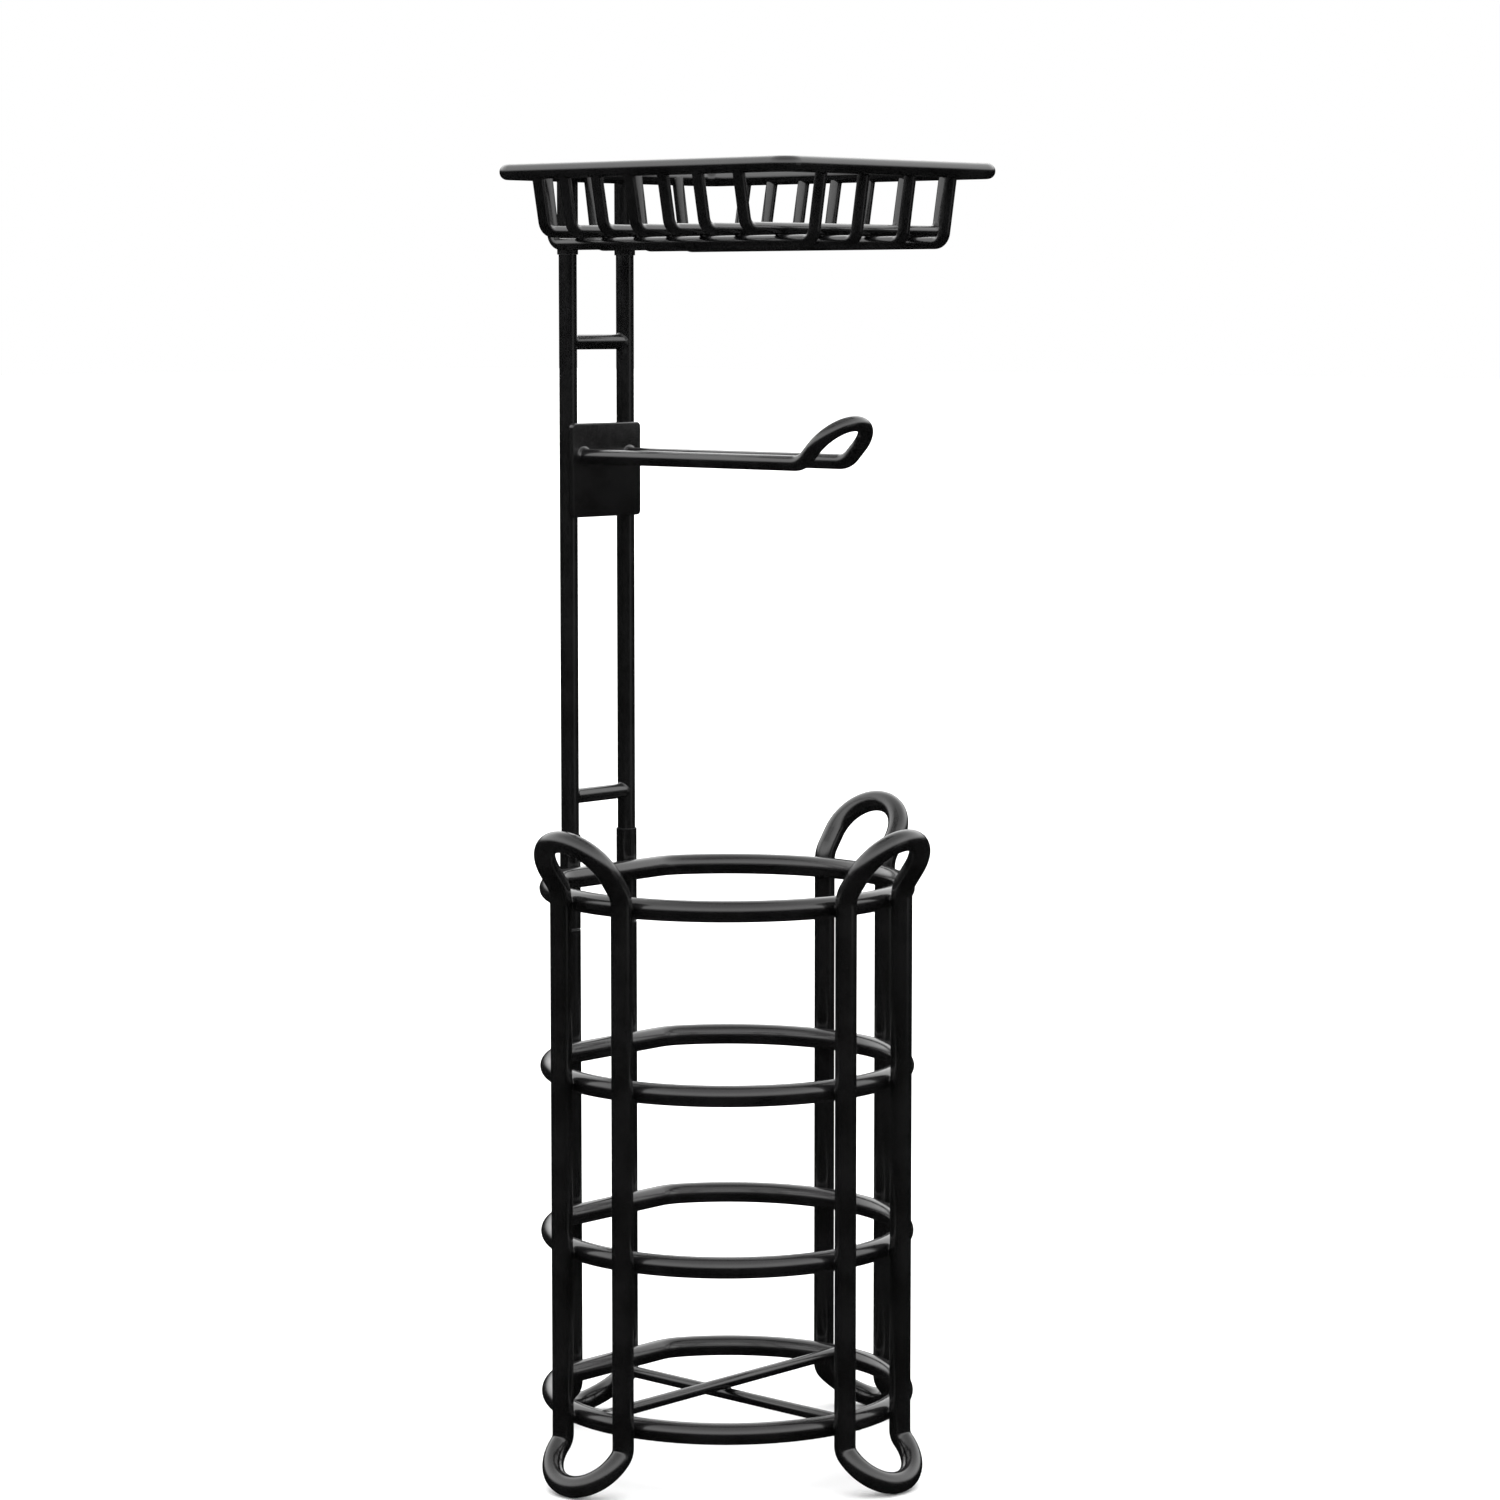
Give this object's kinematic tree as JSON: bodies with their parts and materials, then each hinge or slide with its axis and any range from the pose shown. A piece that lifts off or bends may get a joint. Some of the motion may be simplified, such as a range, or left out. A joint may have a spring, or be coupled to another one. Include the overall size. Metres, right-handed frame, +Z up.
{
  "type": "toilet paper holder",
  "caption": "Free-standing toilet paper holder: a round tube cage for spare rolls, a two-tube mast with an upturned roll arm, and a lift-off wire shelf on top.",
  "frame": {"origin": "on the floor, on the upright axis of the round cage", "axes": "+Z up; -Y is the front, where the roll arm points; +X is to the right of a viewer who stands at the front and looks along +Y"},
  "size_m": [0.2568, 0.247, 0.6805],
  "materials": {
    "cage_enamel": "gloss black stove enamel",
    "mast_enamel": "gloss black stove enamel",
    "shelf_enamel": "gloss black stove enamel",
    "cap_plastic": "satin black moulded plastic"
  },
  "bodies": {
    "base": {"ring_top": "cage_enamel", "ring_upper": "cage_enamel", "ring_lower": "cage_enamel", "ring_bottom": "cage_enamel", "front_hairpin": "cage_enamel", "left_hairpin": "cage_enamel", "right_hairpin": "cage_enamel", "back_posts": "cage_enamel", "floor_bar_across": "cage_enamel", "floor_bar_along": "cage_enamel"},
    "mast": {"mast_tube_left": "mast_enamel", "mast_tube_right": "mast_enamel", "upper_crossbar": "mast_enamel", "lower_crossbar": "mast_enamel", "arm_plate": "mast_enamel", "roll_arm": "mast_enamel"},
    "shelf": {"shelf_rim": "shelf_enamel", "long_wire_1": "shelf_enamel", "long_wire_2": "shelf_enamel", "long_wire_3": "shelf_enamel", "long_wire_4": "shelf_enamel", "cross_wire_1": "shelf_enamel", "cross_wire_2": "shelf_enamel", "cross_wire_3": "shelf_enamel", "cross_wire_4": "shelf_enamel", "cross_wire_5": "shelf_enamel", "cross_wire_6": "shelf_enamel", "cross_wire_7": "shelf_enamel", "sleeve_left": "shelf_enamel", "sleeve_right": "shelf_enamel", "sleeve_cap_left": "cap_plastic", "sleeve_cap_right": "cap_plastic"}
  },
  "joints": [
    {"name": "mast_lift", "type": "slide", "parent": "base", "child": "mast", "axis": [0, 0, 1], "range_m": [0, 0.06]},
    {"name": "shelf_lift", "type": "slide", "parent": "mast", "child": "shelf", "axis": [0, 0, 1], "range_m": [0, 0.04]}
  ]
}
